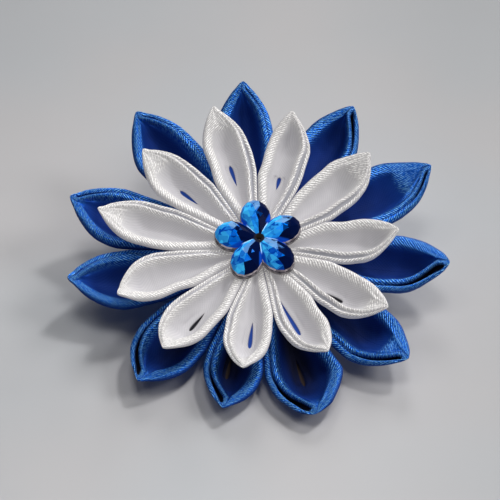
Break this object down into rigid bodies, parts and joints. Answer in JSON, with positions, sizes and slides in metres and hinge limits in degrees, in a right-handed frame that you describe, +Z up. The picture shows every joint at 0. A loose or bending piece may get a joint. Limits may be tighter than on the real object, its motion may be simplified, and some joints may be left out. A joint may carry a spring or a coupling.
{
  "type": "kanzashi hairpin",
  "caption": "Flower of folded satin ribbon petals in two rings, blue under white, with a faceted flower gem in the middle, on a flat clip that holds it in the hair.",
  "frame": {"origin": "middle of the clip's flat underside, where the hairpin rests", "axes": "+Z up from the underside; -Y towards the clip's mouth, the side to which the flower leans"},
  "size_m": [0.0786, 0.0756, 0.0246],
  "materials": {
    "clip_steel": "satin",
    "blue_satin": "satin",
    "white_satin": "satin",
    "silver_foil": "polished",
    "blue_gem": "polished"
  },
  "bodies": {
    "root": {"hair_clip": "clip_steel", "blue_petal_01": "blue_satin", "blue_petal_02": "blue_satin", "blue_petal_03": "blue_satin", "blue_petal_04": "blue_satin", "blue_petal_05": "blue_satin", "blue_petal_06": "blue_satin", "blue_petal_07": "blue_satin", "blue_petal_08": "blue_satin", "blue_petal_09": "blue_satin", "blue_petal_10": "blue_satin", "blue_petal_11": "blue_satin", "white_petal_01": "white_satin", "white_petal_02": "white_satin", "white_petal_03": "white_satin", "white_petal_04": "white_satin", "white_petal_05": "white_satin", "white_petal_06": "white_satin", "white_petal_07": "white_satin", "white_petal_08": "white_satin", "white_petal_09": "white_satin", "white_petal_10": "white_satin", "white_petal_11": "white_satin", "gem_backing": "silver_foil", "gem_flower": "blue_gem"}
  },
  "joints": []
}
